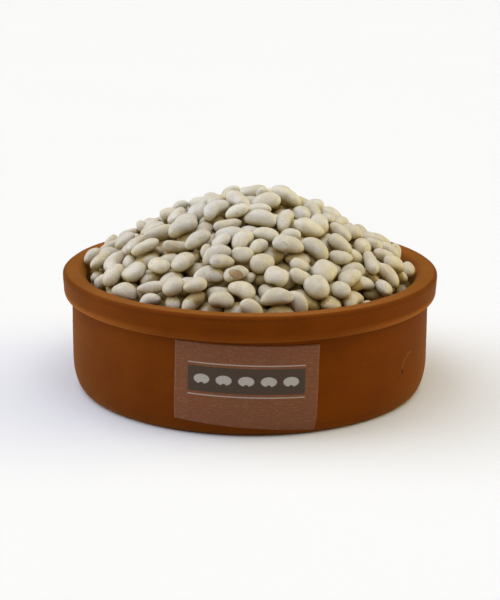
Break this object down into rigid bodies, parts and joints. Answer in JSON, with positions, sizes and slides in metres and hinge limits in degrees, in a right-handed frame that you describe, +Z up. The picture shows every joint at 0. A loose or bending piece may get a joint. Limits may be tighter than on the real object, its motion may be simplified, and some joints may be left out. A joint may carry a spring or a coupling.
{
  "type": "bowl of dried beans",
  "caption": "Round terracotta serving bowl with a thick banded rim, heaped with dried white beans, with a blank-name label on its wall.",
  "frame": {"origin": "centre of the bowl's flat foot, on the surface it stands on", "axes": "+Z up through the heap, -Y towards the front, where the label is"},
  "size_m": [0.2, 0.2, 0.1072],
  "materials": {
    "terracotta": "matt unglazed earthenware",
    "bean_skin": "smooth dry bean skin",
    "label_film": "thin satin film, printed"
  },
  "bodies": {
    "root": {"bowl": "terracotta", "beans": "bean_skin", "label": "label_film"}
  },
  "joints": []
}
